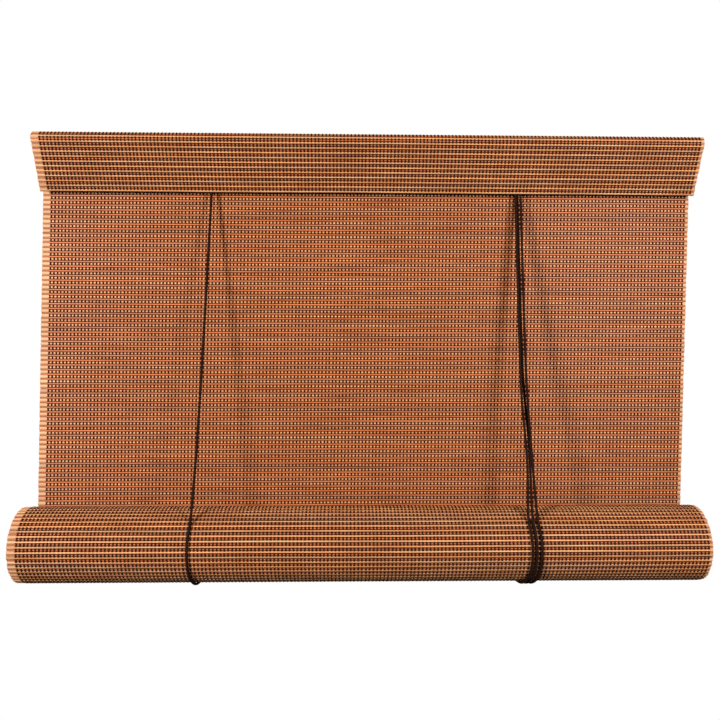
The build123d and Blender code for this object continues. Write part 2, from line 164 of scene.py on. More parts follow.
def along_frames(line):
    """Two directions across a line at each of its points, turning as little as possible."""
    tangent = np.gradient(line, axis=0)
    tangent /= np.linalg.norm(tangent, axis=1)[:, None]
    side = np.cross(tangent[0], (0.3, 0.2, 1.0) if abs(tangent[0][2]) < 0.9 else (1.0, 0.2, 0.1))
    sides = []
    for direction in tangent:
        side = side - (side @ direction) * direction
        side = side / np.linalg.norm(side)
        sides.append(side)
    sides = np.array(sides)
    return sides, np.cross(tangent, sides)


CORD_R = 1.15 * MM
CORD_STEP = 1.15 * MM
CORD_SIDES = 8
DRAWN_R = 1.36 * CORD_R     # the strands in view, as thick as they read in the photograph
COIL_DRAWN_R = 1.15 * CORD_R
KNOT_DRAWN_R = 0.9 * CORD_R
BRAID_DEPTH = 0.02          # how far the picks stand proud, as a share of the radius


def cord_tube(name, line, step=CORD_STEP, radius=DRAWN_R):
    """A braided cord along a line, with small raised picks in a lozenge pattern, and its line."""
    line, at = evenly(line, step)
    across, up = along_frames(line)
    angles = np.arange(CORD_SIDES) * 2 * math.pi / CORD_SIDES
    rings, sides = len(line), CORD_SIDES
    lift = 1 + BRAID_DEPTH * (1 - 2 * ((np.arange(rings)[:, None] + np.arange(sides)) % 2))
    reach = radius * lift
    outward = np.cos(angles)[None, :, None] * across[:, None] + np.sin(angles)[None, :, None] * up[:, None]
    points = line[:, None] + reach[..., None] * outward
    i, j = np.meshgrid(np.arange(rings - 1), np.arange(sides), indexing="ij")
    k = (j + 1) % sides
    quads = np.stack([i * sides + j, i * sides + k, (i + 1) * sides + k, (i + 1) * sides + j], -1)
    first = np.arange(sides)[::-1][None]
    last = (np.arange(sides) + (rings - 1) * sides)[None]
    every_ring = np.ones((rings, 1)) * MM
    grain = np.stack(
        [np.repeat(at[:, None], sides, 1), np.cos(angles) * every_ring, np.sin(angles) * every_ring], -1
    )
    faces = [(quads.reshape(-1, 4), 0), (first, 0), (last, 0)]
    return new_mesh(name, points, faces, [MATERIALS["cord"]], vectors={"grain": grain}), line


# ---- materials ----
def new_material(name):
    """A material, its node tree and its shader."""
    material = bpy.data.materials.new(name)
    material.use_nodes = True
    return material, material.node_tree, material.node_tree.nodes["Principled BSDF"]


def add(tree, kind, **settings):
    """A node with its own properties set."""
    node = tree.nodes.new(kind)
    for key, value in settings.items():
        setattr(node, key, value)
    return node


def attribute(tree, name):
    """A node that reads one of the mesh's own attributes."""
    return add(tree, "ShaderNodeAttribute", attribute_name=name, attribute_type="GEOMETRY")


def stretched(tree, source, scale):
    """Coordinates scaled by a different amount along each axis."""
    mapping = add(tree, "ShaderNodeMapping")
    mapping.inputs["Scale"].default_value = scale
    tree.links.new(source, mapping.inputs["Vector"])
    return mapping.outputs["Vector"]


def noise(tree, source, scale, detail=3.0, rough=0.55):
    """Noise over the coordinates."""
    node = add(tree, "ShaderNodeTexNoise")
    node.inputs["Scale"].default_value = scale
    node.inputs["Detail"].default_value = detail
    node.inputs["Roughness"].default_value = rough
    tree.links.new(source, node.inputs["Vector"])
    return node.outputs["Fac"]


def ramp(tree, source, stops):
    """A colour ramp with its stops given as (place, colour)."""
    node = add(tree, "ShaderNodeValToRGB")
    elements = node.color_ramp.elements
    while len(elements) < len(stops):
        elements.new(0.5)
    for element, (place, colour) in zip(elements, stops):
        element.position = place
        element.color = (*colour, 1.0)
    tree.links.new(source, node.inputs["Fac"])
    return node.outputs["Color"]


def spread(tree, source, low, high, low_in=0.0, high_in=1.0):
    """A value moved from one span to another."""
    node = add(tree, "ShaderNodeMapRange")
    for key, value in (("From Min", low_in), ("From Max", high_in), ("To Min", low), ("To Max", high)):
        node.inputs[key].default_value = value
    tree.links.new(source, node.inputs["Value"])
    return node.outputs["Result"]


def mix(tree, factor, first, second, blend="MIX"):
    """Two colours mixed. A factor or colour is a socket or a plain value."""
    node = add(tree, "ShaderNodeMix", data_type="RGBA", blend_type=blend)
    for key, value in ((0, factor), (6, first), (7, second)):
        socket = node.inputs[key]
        if isinstance(value, bpy.types.NodeSocket):
            tree.links.new(value, socket)
        elif key == 0:
            socket.default_value = value
        else:
            socket.default_value = (*value, 1.0)
    return node.outputs[2]


def bump(tree, shader, height, distance, strength=1.0):
    """A bump from a height, onto the shader."""
    node = add(tree, "ShaderNodeBump")
    node.inputs["Strength"].default_value = strength
    node.inputs["Distance"].default_value = distance
    tree.links.new(height, node.inputs["Height"])
    tree.links.new(node.outputs["Normal"], shader.inputs["Normal"])


def times(tree, first, second):
    """The product of two values."""
    node = add(tree, "ShaderNodeMath", operation="MULTIPLY")
    tree.links.new(first, node.inputs[0])
    tree.links.new(second, node.inputs[1])
    return node.outputs[0]


def grey(tree, value):
    """The grey colour that is as bright as a value."""
    node = add(tree, "ShaderNodeCombineColor")
    for channel in ("Red", "Green", "Blue"):
        tree.links.new(value, node.inputs[channel])
    return node.outputs["Color"]


WHITE = (1.0, 1.0, 1.0)
PAINTED_GAP_SHADE = (0.15, 0.055, 0.035)   # painted shade between the sticks, beside their crests, over the stain's deeper red there
FIBRE_SCALE = (14.0, 1.0, 1500.0)    # along a stick, from stick to stick, across it
PATCH_SCALE = (22.0, 1.0, 90.0)


def bamboo(name, pale, middle, dark, bare, roughness):
    """Stained, lacquered bamboo: long fibres, each stick a little different from the next, and painted shade on
    the flanks between the sticks.
    """
    material, tree, shader = new_material(name)
    grain = attribute(tree, "grain").outputs["Vector"]
    tone = attribute(tree, "tone").outputs["Fac"]
    fibres = noise(tree, stretched(tree, grain, FIBRE_SCALE), 1.0, 4.0, 0.6)
    patches = noise(tree, stretched(tree, grain, PATCH_SCALE), 1.0, 2.0, 0.5)
    streaks = ramp(tree, fibres, ((0.3, dark), (0.5, middle), (0.72, pale)))
    light = times(tree, spread(tree, tone, 0.80, 1.14), spread(tree, patches, 0.88, 1.10, 0.3, 0.7))
    # painted shade: the crest attribute darkens the sticks' flanks, standing in for the shadow in the gaps between
    # the sticks and under the threads
    unshaded = spread(tree, attribute(tree, "crest").outputs["Fac"], 0.0, 1.0, 0.28, 0.95)
    streaks = mix(tree, attribute(tree, "bare").outputs["Fac"], streaks, bare)
    painted_shade = mix(tree, unshaded, PAINTED_GAP_SHADE, WHITE)
    colour = mix(tree, 1.0, mix(tree, 1.0, streaks, grey(tree, light), "MULTIPLY"), painted_shade, "MULTIPLY")
    tree.links.new(colour, shader.inputs["Base Color"])
    sheen = spread(tree, fibres, roughness - 0.08, roughness + 0.12, 0.3, 0.7)
    tree.links.new(sheen, shader.inputs["Roughness"])
    shader.inputs["Specular IOR Level"].default_value = 0.3
    bump(tree, shader, fibres, 0.12 * MM, 0.6)
    return material


FLUFF_SCALE = (900.0, 900.0, 900.0)


def yarn(name, pale, dark, twist, roughness):
    """Spun yarn or braided cord, its strands laid across the length."""
    material, tree, shader = new_material(name)
    grain = attribute(tree, "grain").outputs["Vector"]
    fluff = noise(tree, stretched(tree, grain, FLUFF_SCALE), 1.0, 4.0, 0.65)
    turns = add(tree, "ShaderNodeTexWave", wave_type="BANDS", bands_direction="DIAGONAL")
    turns.inputs["Scale"].default_value = twist
    turns.inputs["Distortion"].default_value = 1.5
    turns.inputs["Detail"].default_value = 2.0
    tree.links.new(grain, turns.inputs["Vector"])
    strands = mix(tree, 0.45, fluff, turns.outputs["Fac"])
    tree.links.new(ramp(tree, strands, ((0.25, dark), (0.8, pale))), shader.inputs["Base Color"])
    sheen = spread(tree, fluff, roughness - 0.1, roughness + 0.1, 0.3, 0.7)
    tree.links.new(sheen, shader.inputs["Roughness"])
    shader.inputs["Specular IOR Level"].default_value = 0.12
    bump(tree, shader, strands, 0.15 * MM, 0.7)
    return material


PINE_DARK = (0.36, 0.20, 0.09)
PINE_MIDDLE = (0.56, 0.36, 0.18)
PINE_PALE = (0.66, 0.46, 0.26)


def softwood():
    """Planed pine with long growth lines."""
    material, tree, shader = new_material("timber")
    place = add(tree, "ShaderNodeTexCoord").outputs["Object"]
    wide = stretched(tree, place, (6.0, 90.0, 90.0))
    warp = noise(tree, wide, 1.0, 3.0, 0.5)
    lines = add(tree, "ShaderNodeTexWave", wave_type="BANDS", bands_direction="Y")
    lines.inputs["Scale"].default_value = 1.6
    lines.inputs["Distortion"].default_value = 6.0
    lines.inputs["Detail"].default_value = 3.0
    tree.links.new(wide, lines.inputs["Vector"])
    fibres = noise(tree, stretched(tree, place, (25.0, 1400.0, 1400.0)), 1.0, 4.0, 0.6)
    growth = mix(tree, 0.4, lines.outputs["Fac"], warp)
    colour = ramp(tree, growth, ((0.1, PINE_DARK), (0.5, PINE_MIDDLE), (0.9, PINE_PALE)))
    tree.links.new(colour, shader.inputs["Base Color"])
    tree.links.new(spread(tree, fibres, 0.55, 0.75), shader.inputs["Roughness"])
    bump(tree, shader, fibres, 0.15 * MM, 0.5)
    return material


ZINC_DARK = (0.42, 0.43, 0.45)
ZINC_PALE = (0.66, 0.67, 0.68)


def zinc():
    """Zinc plated steel, its surface faintly mottled and scuffed."""
    material, tree, shader = new_material("zinc_steel")
    place = add(tree, "ShaderNodeTexCoord").outputs["Object"]
    mottle = noise(tree, place, 700.0, 3.0, 0.6)
    scuffs = noise(tree, stretched(tree, place, (300.0, 2500.0, 2500.0)), 1.0, 2.0, 0.5)
    colour = ramp(tree, mottle, ((0.3, ZINC_DARK), (0.7, ZINC_PALE)))
    tree.links.new(colour, shader.inputs["Base Color"])
    tree.links.new(spread(tree, scuffs, 0.24, 0.5, 0.3, 0.7), shader.inputs["Roughness"])
    shader.inputs["Metallic"].default_value = 1.0
    bump(tree, shader, scuffs, 0.03 * MM, 0.4)
    return material


NYLON_DARK = (0.66, 0.64, 0.58)
NYLON_PALE = (0.78, 0.77, 0.72)


def nylon():
    """Moulded off-white nylon."""
    material, tree, shader = new_material("pulley_nylon")
    place = add(tree, "ShaderNodeTexCoord").outputs["Object"]
    cloud = noise(tree, place, 260.0, 3.0, 0.5)
    colour = ramp(tree, cloud, ((0.3, NYLON_DARK), (0.7, NYLON_PALE)))
    tree.links.new(colour, shader.inputs["Base Color"])
    tree.links.new(spread(tree, cloud, 0.38, 0.52), shader.inputs["Roughness"])
    shader.inputs["Subsurface Weight"].default_value = 0.15
    bump(tree, shader, cloud, 0.02 * MM, 0.4)
    return material


MATERIALS = {
    "gold": bamboo(
        "bamboo_gold", pale=(0.93, 0.52, 0.23), middle=(0.79, 0.36, 0.135), dark=(0.50, 0.17, 0.05),
        bare=(0.66, 0.42, 0.25), roughness=0.42,
    ),
    "red": bamboo(
        "bamboo_red", pale=(0.83, 0.245, 0.085), middle=(0.66, 0.163, 0.052), dark=(0.42, 0.087, 0.026),
        bare=(0.52, 0.16, 0.07), roughness=0.48,
    ),
    "thread": yarn(
        "warp_thread", pale=(0.085, 0.021, 0.008), dark=(0.024, 0.0055, 0.002), twist=260.0,
        roughness=0.85,
    ),
    "cord": yarn(
        "braided_cord", pale=(0.034, 0.0095, 0.0035), dark=(0.009, 0.0022, 0.0007), twist=330.0,
        roughness=0.80,
    ),
    "timber": softwood(),
    "steel": zinc(),
    "nylon": nylon(),
}

# ---- the woven sheet ----
PERIOD = 5.78 * MM          # one gold stick and one red stick
GOLD_HEIGHT = 3.68 * MM
GOLD_THICK = 2.1 * MM
RED_HEIGHT = 2.34 * MM
RED_THICK = 1.6 * MM
THREADS = 183
LEFT_SELVEDGE = 10.7 * MM   # from the sticks' left ends to the first thread
RIGHT_SELVEDGE = 5.5 * MM
THREAD_HALF_WIDTH = 0.97 * MM
THREAD_HALF_THICK = 0.29 * MM
SELVEDGE_GOLD = 1.16        # the sticks' free ends, beside their height among the threads
SELVEDGE_RED = 0.64
SELVEDGE_STEP = 0.8 * MM    # over which a stick's look changes where the threads begin
END_TINT_SHARE = 0.40            # how far the colour of the sticks' free ends moves towards their paler end colour
WOVEN_MARGIN = 1.3 * MM     # from the outermost threads to where a stick's free end begins
STICK_SEGMENTS = 11
STICK_SIDES = 8
END_SCATTER = 0.7 * MM
HEIGHT_VARIES = (0.98, 1.05)       # from stick to stick
THICKNESS_VARIES = (0.95, 1.05)
ROW_WANDER = 0.16 * MM      # how far neighbouring rows wander together along the sheet
OWN_DRIFT = 0.02 * MM       # how far a stick leaves its row
OWN_BOW = 0.08 * MM         # how far a stick bows out of the sheet
RED_TONE_SHARE = 0.6        # the red sticks' tones differ less than the gold ones'
TONE_SHAPE = 2.2            # of the beta distribution the sticks' tones are drawn from
THREAD_LEAN = 0.12 * MM
THREAD_WOBBLE = 0.10 * MM
THREAD_WIDTH_VARIES = 0.08

thread_xs = np.linspace(-HALF_WIDTH + LEFT_SELVEDGE, HALF_WIDTH - RIGHT_SELVEDGE, THREADS)

SLOPE_REACH = 0.35 * MM     # a track's slope is taken between points this far to either side


class Track:
    """The sheet's middle line in the YZ plane, by distance along it. Side +1 is its reverse face."""

    def __init__(self, points, shift_from=0.0, shift_to=0.0, closed=False):
        self.points = np.array(points, float)
        steps = np.linalg.norm(np.diff(self.points, axis=0), axis=1)
        self.along = np.concatenate([[0], np.cumsum(steps)])
        self.length = self.along[-1]
        self.shift_from, self.shift_to, self.closed = shift_from, shift_to, closed

    def yz(self, distance):
        """Y and Z at distances along the track."""
        if self.closed:
            distance = distance % self.length
        return (np.interp(distance, self.along, self.points[:, k]) for k in (0, 1))

    def at(self, distance):
        """Places, directions along and reverse-side normals, each as (x, y, z)."""
        distance = np.asarray(distance, float)
        if self.closed:
            distance = distance % self.length
        y, z = self.yz(distance)
        y_before, z_before = self.yz(distance - SLOPE_REACH)
        y_after, z_after = self.yz(distance + SLOPE_REACH)
        dy, dz = y_after - y_before, z_after - z_before
        size = np.hypot(dy, dz)
        dy, dz = dy / size, dz / size
        share = distance / self.length
        x = self.shift_from + (self.shift_to - self.shift_from) * share
        zero = np.zeros_like(y)
        return np.stack([x, y, z], -1), np.stack([zero, dy, dz], -1), np.stack([zero, -dz, dy], -1)


def wave(x, distance, seed):
    """How far the rows wander along the sheet, shared by neighbouring sticks."""
    slow = np.sin(x * 9.0 + distance * 7.0 + seed) + 0.6 * np.sin(x * 23.0 - distance * 15.0 + 2 * seed)
    return ROW_WANDER * slow


# sections of the sticks, each corner (across, out) as shares of the half sizes
GOLD_SECTION = (
    (1.0, -0.1), (0.34, 1.0), (-0.34, 1.0), (-1.0, -0.1),
    (-0.74, -0.8), (-0.3, -1.0), (0.3, -1.0), (0.74, -0.8),
)
RED_SECTION = (
    (1.0, 0.0), (0.7, 0.75), (0.0, 1.0), (-0.7, 0.75),
    (-1.0, 0.0), (-0.6, -0.92), (0.0, -1.0), (0.6, -0.92),
)
# painted shade: for each corner, how much of its colour is kept from the shade painted between the sticks, 1 on a
# crest and less on the flanks; among the threads the flanks get more of it than at the free ends, standing in for
# the threads' shadow
GOLD_UNSHADED = (0.0, 1.0, 1.0, 0.0, 0.30, 1.0, 1.0, 0.30)
RED_UNSHADED = (0.0, 0.55, 1.0, 0.55, 0.0, 0.80, 1.0, 0.80)
GOLD_UNSHADED_FREE_ENDS = (0.7, 1.0, 1.0, 0.7, 1.0, 1.0, 1.0, 1.0)
RED_UNSHADED_FREE_ENDS = (0.3, 0.8, 1.0, 0.8, 0.3, 0.8, 1.0, 0.8)


def by_kind(golds, gold_row, red_row):
    """One row of values for each stick, by whether it is gold or red."""
    return np.where(golds[:, None], gold_row, red_row)


def stations(count, segments):
    """Where each stick has its rings along x, and which of them stand among the threads."""
    left = -HALF_WIDTH + random.uniform(0, 1, count) ** 2 * END_SCATTER
    right = HALF_WIDTH - random.uniform(0, 1, count) ** 2 * END_SCATTER
    first, last = thread_xs[0] - WOVEN_MARGIN, thread_xs[-1] + WOVEN_MARGIN
    inner = np.linspace(first, last, segments + 1)
    inner = np.concatenate([[first - SELVEDGE_STEP], inner, [last + SELVEDGE_STEP]])
    inner = np.broadcast_to(inner, (count, len(inner)))
    x = np.concatenate([left[:, None], inner, right[:, None]], axis=1)
    return x, (x >= first) & (x <= last)


def stick_faces(count, rings, golds):
    """The quads along each stick and the caps on its ends, gold ones with material 0, red with 1."""
    index = np.arange(count * rings * STICK_SIDES).reshape(count, rings, STICK_SIDES)
    turned = np.roll(index, -1, axis=2)
    quads = np.stack([index[:, :-1], turned[:, :-1], turned[:, 1:], index[:, 1:]], -1).reshape(-1, 4)
    caps = np.concatenate([index[:, 0, ::-1], index[:, -1]])
    slot = np.where(golds, 0, 1)
    quad_slot = np.repeat(slot, (rings - 1) * STICK_SIDES)
    return [(quads, quad_slot), (caps, np.concatenate([slot, slot]))]


def sticks(name, track, distances, golds, seed, segments=STICK_SEGMENTS):
    """Sticks laid across a track, gold or red, as one piece."""
    count = len(distances)
    centre, along, normal = track.at(distances)
    gold_across, gold_out = np.array(GOLD_SECTION).T
    red_across, red_out = np.array(RED_SECTION).T
    across = by_kind(golds, gold_across, red_across)
    out = by_kind(golds, gold_out, red_out)
    half_height = np.where(golds, GOLD_HEIGHT, RED_HEIGHT) / 2 * random.uniform(*HEIGHT_VARIES, count)
    half_thick = np.where(golds, GOLD_THICK, RED_THICK) / 2 * random.uniform(*THICKNESS_VARIES, count)
    x, woven = stations(count, segments)
    free_end = np.where(golds, SELVEDGE_GOLD, SELVEDGE_RED)[:, None]
    half_height = half_height[:, None] * np.where(woven, 1.0, free_end)
    shape = (count, x.shape[1], STICK_SIDES)

    own = random.uniform(0, 2 * math.pi, (count, 2))
    drift = wave(x, distances[:, None], seed) + OWN_DRIFT * np.sin(x * 31.0 + own[:, :1])
    bow = OWN_BOW * np.sin(x * 19.0 + own[:, 1:])
    raised = half_height[:, :, None] * across[:, None]
    proud = (half_thick[:, None] * out)[:, None]
    places = (
        centre[:, None, None]
        + along[:, None, None] * (drift[..., None] + raised)[..., None]
        + normal[:, None, None] * (bow[..., None] + proud)[..., None]
    )
    places[..., 0] += x[:, :, None]

    # how much each corner is spared the painted shade: less among the threads, which would shade the flanks, than
    # at the free ends
    among_threads = by_kind(golds, GOLD_UNSHADED, RED_UNSHADED)[:, None]
    at_free_ends = by_kind(golds, GOLD_UNSHADED_FREE_ENDS, RED_UNSHADED_FREE_ENDS)[:, None]
    tone = 0.5 + (random.beta(TONE_SHAPE, TONE_SHAPE, count) - 0.5) * np.where(golds, 1.0, RED_TONE_SHARE)
    own_grain = random.uniform(0, 500, count)
    values = {
        "tone": np.broadcast_to(tone[:, None, None], shape),
        "crest": np.where(woven[..., None], among_threads, at_free_ends),
        "bare": np.broadcast_to(np.where(woven[..., None], 0.0, END_TINT_SHARE), shape),
    }
    grain = np.stack(
        [
            np.broadcast_to(x[:, :, None], shape),
            np.broadcast_to(own_grain[:, None, None], shape),
            raised + proud * 0.5,
        ],
        -1,
    )
    faces = stick_faces(count, x.shape[1], golds)
    materials = [MATERIALS["gold"], MATERIALS["red"]]
    piece = new_mesh(name, places, faces, materials, values, {"grain": grain}, smooth=False)
    return piece


def warp_threads(name, track, rings, columns, seed, closed=False):
    """Threads that weave through the sticks; rings are (distance, offset to the reverse side)."""
    distances, offsets = np.array(rings).T
    xs = thread_xs[columns]
    centre, along, normal = track.at(distances)
    lean = random.uniform(-1, 1, (len(xs), 1)) * THREAD_LEAN
    wobble = lean + THREAD_WOBBLE * np.sin(distances[None] * 60.0 + random.uniform(0, 6, (len(xs), 1)))
    x = xs[:, None] + wobble
    drift = wave(x, distances[None], seed)
    corner_x = np.array([-1.0, 0.0, 1.0, 0.0]) * THREAD_HALF_WIDTH
    corner_n = np.array([0.0, 1.0, 0.0, -1.0]) * THREAD_HALF_THICK
    places = (
        centre[None, :, None, :]
        + along[None, :, None, :] * drift[:, :, None, None]
        + normal[None, :, None, :] * (offsets[:, None] + corner_n)[None, :, :, None]
    )
    places = np.broadcast_to(places, (len(xs), len(distances), 4, 3)).copy()
    width = 1 + random.uniform(-THREAD_WIDTH_VARIES, THREAD_WIDTH_VARIES, (len(xs), len(distances), 1))
    places[..., 0] += x[:, :, None] + corner_x * width
    index = np.arange(places.shape[0] * places.shape[1] * 4).reshape(places.shape[:3])
    if closed:
        index = np.concatenate([index, index[:, :1]], axis=1)
    turned = np.roll(index, -1, axis=2)
    quads = np.stack([index[:, :-1], index[:, 1:], turned[:, 1:], turned[:, :-1]], -1).reshape(-1, 4)
    face_sets = [(quads, 0)]
    if not closed:
        face_sets.append((np.concatenate([index[:, 0], index[:, -1, ::-1]]), 0))
    shape = places.shape[:3]
    grain = np.stack(
        [
            np.broadcast_to(distances[None, :, None], shape),
            np.broadcast_to(corner_x + corner_n, shape),
            np.broadcast_to(xs[:, None, None] * 3.0, shape),
        ],
        -1,
    )
    piece = new_mesh(name, places, face_sets, [MATERIALS["thread"]], vectors={"grain": grain})
    return piece


OVER_GOLD = GOLD_THICK / 2 + THREAD_HALF_THICK * 0.7
OVER_RED = RED_THICK / 2 + THREAD_HALF_THICK * 0.9
OUTSIDE = OVER_RED + 0.09 * MM
GOLD_EDGE = 1.40 * MM         # where a thread leaves a gold stick's front, from the stick's middle
APRON_CREST_EDGE = 0.60 * MM  # and where it comes up beside the crest of its reverse
ROLL_CREST_EDGE = 0.80 * MM   # on the roll, where the bend opens the reverse a little
RED_EDGE = 0.65 * MM


def full_rings(gold_centres):
    """Rings for a sheet seen from both sides: two over each gold stick, two behind each red one."""
    rings = []
    for gold in gold_centres:
        red = gold + PERIOD / 2
        rings += [(gold - GOLD_EDGE, -OVER_GOLD), (gold + GOLD_EDGE, -OVER_GOLD)]
        rings += [(red - RED_EDGE, OVER_RED), (red + RED_EDGE, OVER_RED)]
    return rings


def reverse_rings(gold_centres, period=PERIOD, crest_edge=APRON_CREST_EDGE):
    """Rings for a sheet of which only the reverse shows: two over each red stick, one behind each gold."""
    rings = []
    for gold in gold_centres:
        following = gold + period
        rings += [(gold, -OVER_GOLD), (gold + crest_edge, OUTSIDE), (following - crest_edge, OUTSIDE)]
    return rings


def arc(y, z, radius, start, turn, step=3.0):
    """Points of an arc in the YZ plane, in degrees."""
    count = max(2, int(abs(turn) / step) + 1)
    angles = np.radians(np.linspace(start, start + turn, count))
    return [(y + radius * math.cos(a), z + radius * math.sin(a)) for a in angles]


BACK_BEND_R = 4.0 * MM - SHEET_T / 2   # of the sheet's middle line over the headrail's edges
FRONT_BEND_R = 8.0 * MM - SHEET_T / 2
APRON_GAP = 9.3 * MM                   # between the apron's lower edge and the panel
APRON_CLEAR = 0.3 * MM                 # between the apron and the headrail


def apron_track():
    """From the apron's lower edge up, over the headrail and down its back."""
    hem_y = sheet_back - SHEET_T - APRON_GAP
    lean = math.atan2(hem_y - (rail_low.y - APRON_CLEAR), rail_low.z - apron_low.z)
    foot = (hem_y - SHEET_T / 2 / math.cos(lean), apron_low.z)
    top = -SHEET_T / 2
    corner_y = foot[0] - (top - foot[1]) * math.tan(lean)
    run = FRONT_BEND_R * math.tan((math.pi / 2 + lean) / 2)
    front_centre = (corner_y + run, top - FRONT_BEND_R)
    bend = arc(*front_centre, FRONT_BEND_R, 180 + math.degrees(lean), -(90 + math.degrees(lean)))
    back = arc(sheet_middle - BACK_BEND_R, top - BACK_BEND_R, BACK_BEND_R, 90, -90, 9.0)
    return Track([foot, *bend, *back, (sheet_middle, panel_high.z)])


def gold_and_red(golds, period=PERIOD):
    """Distances of the gold sticks and of the red one after each, and which of them are gold."""
    places = np.concatenate([golds, golds + period / 2])
    return places, np.arange(len(places)) < len(golds)


def wrap_headrail():
    """The apron and the sheet round the headrail, as far as the hanging panel."""
    track = apron_track()
    golds = GOLD_HEIGHT / 2 + PERIOD * np.arange(int(track.length / PERIOD))
    apron = sticks("apron_sticks", track, *gold_and_red(golds), 1.0)
    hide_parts("sheet_apron")
    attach(apron, "headrail")
    # behind the headrail the threads keep to the red sticks, as on the back of the panel
    behind = golds > track.length + panel_high.z
    rings = reverse_rings(golds[~behind]) + reverse_rings(golds[behind], PERIOD, PERIOD / 2 - RED_EDGE)
    threads = warp_threads("apron_threads", track, rings, slice(None), 1.0)
    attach(threads, "headrail")


def hang_panel():
    """The hanging panel: an upper band that is never wound up, and a lower one that goes into the roll."""
    top_z = panel_high.z
    drop = top_z - roll_z
    track = Track([(sheet_middle, top_z), (sheet_middle, roll_z)], 0.0, roll_x)
    upper_count = int(round((drop - lift_range) / PERIOD))
    half = THREADS // 2
    bands = (
        ("upper", 0, upper_count, (slice(0, THREADS),)),
        ("lower", upper_count, int(drop / PERIOD), (slice(0, half), slice(half, THREADS))),
    )
    for band, first, last, columns in bands:
        golds = PERIOD * (np.arange(first, last) + 0.5) - PERIOD / 4
        piece = sticks(f"panel_sticks_{band}", track, *gold_and_red(golds), 2.0)
        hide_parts("sheet_panel")
        parts = [
            warp_threads(f"panel_threads_{band}_{number}", track, full_rings(golds), share, 2.0)
            for number, share in enumerate(columns, 1)
        ]
        for part in (piece, *parts):
            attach(part, "headrail")
            if band == "lower":
                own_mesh(part)


def wind_roll():
    """The roll: a closed outermost turn, which looks the same at every turn of it, and the turns inside."""
    periods = int(round(2 * math.pi * roll_mid_r / PERIOD))
    ring_track = Track(arc(roll_y, roll_z, roll_mid_r, 0, -360, 1.0), roll_x, roll_x, closed=True)
    period = ring_track.length / periods
    golds = period * (np.arange(periods) + 0.25)
    outer = sticks("roll_outer_sticks", ring_track, *gold_and_red(golds, period), 3.0)
    rings = reverse_rings(golds, period, ROLL_CREST_EDGE)
    half = THREADS // 2
    parts = [
        warp_threads(f"roll_threads_{number}", ring_track, rings, share, 3.0, closed=True)
        for number, share in enumerate((slice(0, half), slice(half, THREADS)), 1)
    ]
    inner_track = spiral_track()
    steps = np.arange(PERIOD / 4, inner_track.length, PERIOD / 2)
    inner = sticks("roll_inner_sticks", inner_track, steps, np.arange(len(steps)) % 2 == 0, 4.0, 1)
    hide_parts("sheet_roll")
    for part in (outer, inner, *parts):
        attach(part, "roll")


ROLL_PITCH = 3.8 * MM
ROLL_TURNS = 5
CORE_BEND_R = 12.0 * MM
CORE_FLAT = 26.0 * MM


def spiral_track():
    """The inner turns: half circles whose centre steps from side to side, then the flat inner end."""
    points = []
    centre = roll_y
    radius = roll_r
    for half in range(2 * ROLL_TURNS + 1):
        if half >= 2:
            start = 0 if half % 2 == 0 else 180
            points += arc(centre, roll_z, radius - SHEET_T / 2, start, -180)[1:]
        if half < 2 * ROLL_TURNS:
            centre += (-1 if half % 2 == 0 else 1) * ROLL_PITCH / 2
            radius -= ROLL_PITCH / 2
    bend_y = centre - radius + CORE_BEND_R
    bend_r = CORE_BEND_R - SHEET_T / 2
    points += arc(bend_y, roll_z, bend_r, 180, -90)[1:]
    points.append((bend_y + CORE_FLAT, roll_z + bend_r))
    return Track(points, roll_x, roll_x)


# ---- cords ----
CORD_CLEAR = 0.35 * MM      # between a cord and the roll
SLING_START = 40.0          # degrees above the roll's front at which a cord meets it
TOUCH_RUN = 7.0 * MM        # the last of the front stretch, along the roll's tangent
EDGE_CLEAR = 0.15 * MM      # between a cord and the apron's lower edge
EDGE_ONE_BEHIND = 2.5 * MM  # pull cord one passes behind its neighbours there
UPRIGHT = 12.0 * MM         # a cord hangs straight this far below its wheel
WHEEL_CORD_R = 4.0 * MM
SLING_CORNERS = 8

sling_r = roll_r + CORD_CLEAR + CORD_R
edge_z = apron_low.z
edge_y = sheet_back - SHEET_T - APRON_GAP + CORD_R + EDGE_CLEAR


class Strand:
    """A cord that passes round the roll in a plane turned about the vertical."""

    def __init__(self, touch_x, turned):
        angle = math.radians(turned)
        self.back_dir = np.array((math.sin(angle), math.cos(angle), 0.0))
        self.radius = sling_r / math.cos(angle)
        reach = self.radius * math.cos(math.radians(SLING_START))
        self.centre = np.array((touch_x + reach * math.sin(angle), roll_y, roll_z))
        self.touch = self.at(180 - SLING_START)
        self.back = self.at(360)

    def at(self, degrees, out=1.0):
        """A point of the arc: the back is at 0 degrees, the front at 180 and the bottom at 270."""
        a = math.radians(degrees)
        r = self.radius * out
        return self.centre + r * math.cos(a) * self.back_dir + np.array((0, 0, r * math.sin(a)))

    def front_route(self, edge, between):
        """From the apron's edge down to the roll; points between are (x, z, behind), in mm."""
        slope = math.radians(180 - SLING_START)
        foot = self.touch + TOUCH_RUN * (math.sin(slope) * self.back_dir - np.array((0, 0, math.cos(slope))))
        route = [np.array(edge)]
        for x, z, behind in between:
            share = (edge[2] - z * MM) / (edge[2] - foot[2])
            y = edge[1] + (foot[1] - edge[1]) * share + behind * MM
            route.append(np.array((x * MM, y, z * MM)))
        return [*route, foot, self.touch]

    def sling_route(self):
        """Round the roll: the corners of a polygon that the cord's curve touches."""
        span = 180 + SLING_START
        step = span / SLING_CORNERS
        corners = [
            self.at(180 - SLING_START + step * (k + 0.5), 1 / math.cos(math.radians(step / 2)))
            for k in range(SLING_CORNERS)
        ]
        return [self.touch, *corners, self.back]


left_hand = Strand(-206.6 * MM, 7.0)
right_hand = Strand(181.2 * MM, -9.0)
pull_one = Strand(186.3 * MM, -9.0)
pull_two = Strand(192.1 * MM, -9.0)

